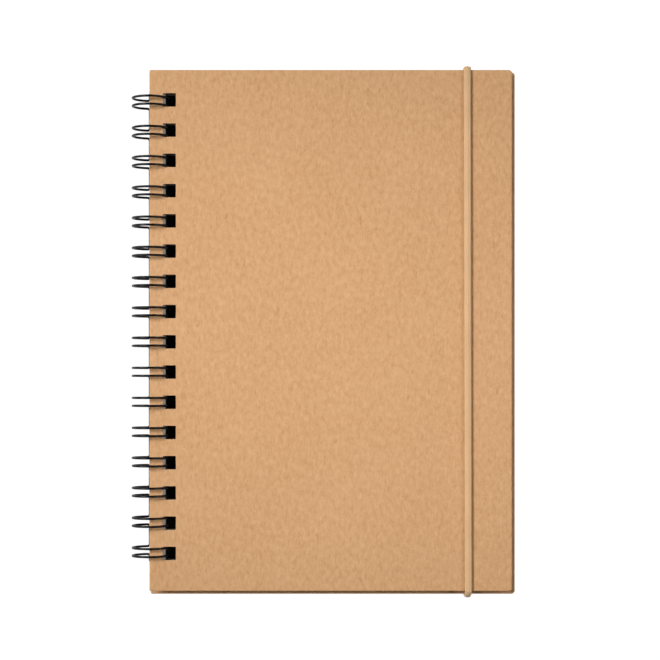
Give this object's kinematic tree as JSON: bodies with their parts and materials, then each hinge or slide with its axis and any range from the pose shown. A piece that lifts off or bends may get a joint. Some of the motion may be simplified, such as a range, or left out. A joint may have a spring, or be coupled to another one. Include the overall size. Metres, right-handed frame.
{
  "type": "sketchbook",
  "caption": "Hardcover sketchbook in brown kraft paper, bound at its left edge with black twin-loop wire through square holes, held shut by an elastic band near the fore edge.",
  "frame": {"origin": "middle of the closed book's footprint, wire and band included, at the lowest point of the wire loops", "axes": "+X from the bound edge towards the fore edge, +Y towards the head of the book, +Z out of the front cover"},
  "size_m": [0.1618, 0.224, 0.0157],
  "materials": {
    "kraft_paper": "uncoated brown kraft paper with fine fibres",
    "greyboard": "pressed grey board, raw cut edges",
    "liner_paper": "smooth uncoated brown paper",
    "sketch_paper": "lightly toothed drawing paper, off-white",
    "black_wire": "satin black nylon-coated steel wire",
    "elastic": "light brown woven elastic"
  },
  "bodies": {
    "back_cover": {"back_cover_wrap": "kraft_paper", "back_cover_board": "greyboard", "back_cover_liner": "liner_paper"},
    "back_pages": {"sheet_01": "sketch_paper", "sheet_02": "sketch_paper", "sheet_03": "sketch_paper", "sheet_04": "sketch_paper", "sheet_05": "sketch_paper", "sheet_06": "sketch_paper", "sheet_07": "sketch_paper", "sheet_08": "sketch_paper", "sheet_09": "sketch_paper", "sheet_10": "sketch_paper"},
    "middle_pages": {"sheet_11": "sketch_paper", "sheet_12": "sketch_paper", "sheet_13": "sketch_paper", "sheet_14": "sketch_paper", "sheet_15": "sketch_paper", "sheet_16": "sketch_paper", "sheet_17": "sketch_paper", "sheet_18": "sketch_paper", "sheet_19": "sketch_paper", "sheet_20": "sketch_paper"},
    "front_pages": {"sheet_21": "sketch_paper", "sheet_22": "sketch_paper", "sheet_23": "sketch_paper", "sheet_24": "sketch_paper", "sheet_25": "sketch_paper", "sheet_26": "sketch_paper", "sheet_27": "sketch_paper", "sheet_28": "sketch_paper", "sheet_29": "sketch_paper"},
    "top_sheet": {"sheet_30": "sketch_paper"},
    "front_cover": {"front_cover_wrap": "kraft_paper", "front_cover_board": "greyboard", "front_cover_liner": "liner_paper"},
    "wire": {"twin_loop_wire": "black_wire"},
    "band": {"elastic_band": "elastic"}
  },
  "joints": [
    {"name": "back_pages_turn", "type": "hinge", "parent": "back_cover", "child": "back_pages", "pos_m": [-0.0732, 0, 0.00793], "axis": [0, -1, 0], "range_deg": [0, 180]},
    {"name": "middle_pages_turn", "type": "hinge", "parent": "back_pages", "child": "middle_pages", "pos_m": [-0.0732, 0, 0.00793], "axis": [0, -1, 0], "range_deg": [0, 180]},
    {"name": "front_pages_turn", "type": "hinge", "parent": "middle_pages", "child": "front_pages", "pos_m": [-0.0732, 0, 0.00793], "axis": [0, -1, 0], "range_deg": [0, 180]},
    {"name": "top_sheet_turn", "type": "hinge", "parent": "front_pages", "child": "top_sheet", "pos_m": [-0.0732, 0, 0.00793], "axis": [0, -1, 0], "range_deg": [0, 180]},
    {"name": "front_cover_turn", "type": "hinge", "parent": "top_sheet", "child": "front_cover", "pos_m": [-0.0732, 0, 0.00793], "axis": [0, -1, 0], "range_deg": [0, 180]},
    {"name": "wire_roll", "type": "hinge", "parent": "back_cover", "child": "wire", "pos_m": [-0.0732, 0, 0.00793], "axis": [0, -1, 0], "range_deg": [-30, 30]},
    {"name": "band_slip", "type": "slide", "parent": "back_cover", "child": "band", "axis": [1, 0, 0], "range_m": [0, 0.028], "deforming": ["elastic_band"]}
  ]
}
